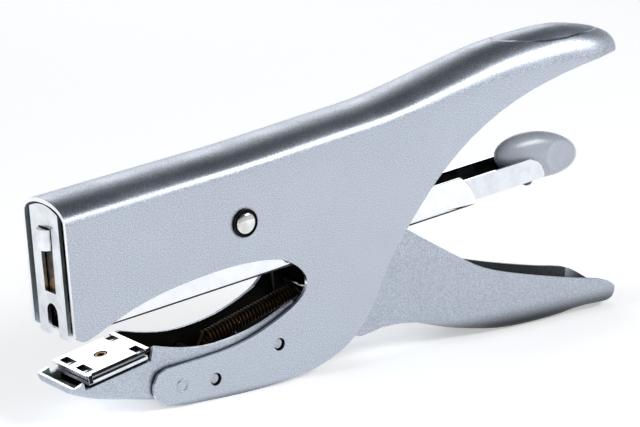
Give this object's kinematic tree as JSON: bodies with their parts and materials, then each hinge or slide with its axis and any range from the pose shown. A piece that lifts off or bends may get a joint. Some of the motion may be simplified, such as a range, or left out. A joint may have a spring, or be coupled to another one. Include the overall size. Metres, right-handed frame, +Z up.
{
  "type": "plier stapler",
  "caption": "Hand-held plier stapler with a pressed steel body, squeezing lower handle, hinged magazine, rear loading rail with a knob and a reversible anvil.",
  "frame": {"origin": "ground point below the middle of the stapler's length and width, as it stands on its lower jaw and lower handle", "axes": "+X towards the handles, +Y towards the far side seen with the head on the left, +Z up"},
  "size_m": [0.1996, 0.0248, 0.0883],
  "materials": {
    "satin_nickel": "satin, very fine speckle",
    "bright_zinc": "bright plated",
    "polished_steel": "polished",
    "blade_steel": "ground",
    "spring_wire": "copper-washed wire",
    "grey_knob": "smooth moulded",
    "grey_catch": "moulded"
  },
  "bodies": {
    "frame": {"body_shell": "satin_nickel", "lower_jaw": "satin_nickel", "anvil_base": "bright_zinc", "anvil_rivet": "polished_steel", "jaw_rivet_front_near": "polished_steel", "jaw_rivet_front_far": "polished_steel", "jaw_rivet_rear_near": "polished_steel", "jaw_rivet_rear_far": "polished_steel", "spring_anchor_pin": "polished_steel", "return_spring": "spring_wire", "pivot_rivet": "polished_steel", "pivot_sleeve": "polished_steel"},
    "anvil": {"anvil_plate": "bright_zinc"},
    "lever": {"lower_handle": "satin_nickel", "spring_hook_pin": "polished_steel"},
    "magazine": {"magazine_channel": "bright_zinc", "front_plate": "bright_zinc"},
    "driver": {"driver_blade": "blade_steel"},
    "rail": {"loading_rail": "bright_zinc", "rail_knob": "grey_knob", "knob_pin": "polished_steel", "catch_pin": "polished_steel", "spring_stop": "blade_steel", "pusher_rod": "polished_steel", "pusher_spring": "spring_wire"},
    "catch": {"rail_catch": "grey_catch"},
    "pusher": {"pusher": "blade_steel"}
  },
  "joints": [
    {"name": "lever_squeeze", "type": "hinge", "parent": "frame", "child": "lever", "pos_m": [-0.04295, 0, 0.04749], "axis": [0, -1, 0], "range_deg": [0, 19.5], "stiffness_Nm_per_rad": 0.6, "springref_deg": -57.3, "deforming": ["return_spring"]},
    {"name": "magazine_swing", "type": "hinge", "parent": "frame", "child": "magazine", "pos_m": [-0.04295, 0, 0.04749], "axis": [0, -1, 0], "range_deg": [0, 9.75]},
    {"name": "driver_stroke", "type": "slide", "parent": "magazine", "child": "driver", "axis": [0.0819, 0, -0.9966], "range_m": [0, 0.0086]},
    {"name": "rail_draw", "type": "slide", "parent": "magazine", "child": "rail", "axis": [0.9931, 0, 0.1175], "range_m": [0, 0.07]},
    {"name": "catch_press", "type": "hinge", "parent": "rail", "child": "catch", "pos_m": [0.00539, 0, 0.03897], "axis": [0, -1, 0], "range_deg": [-1.9, 0]},
    {"name": "pusher_slide", "type": "slide", "parent": "rail", "child": "pusher", "axis": [0.9931, 0, 0.1175], "range_m": [0, 0.058], "stiffness_N_per_m": 20, "springref_m": -0.04, "deforming": ["pusher_spring"]},
    {"name": "anvil_turn", "type": "hinge", "parent": "frame", "child": "anvil", "pos_m": [-0.08175, 0, 0.01539], "axis": [-0.2079, 0, 0.9781], "range_deg": [0, 180]}
  ],
  "couplings": [
    {"joint": "magazine_swing", "follows": "lever_squeeze", "ratio": 0.5},
    {"joint": "driver_stroke", "follows": "lever_squeeze", "m_per_rad": 0.02504}
  ]
}
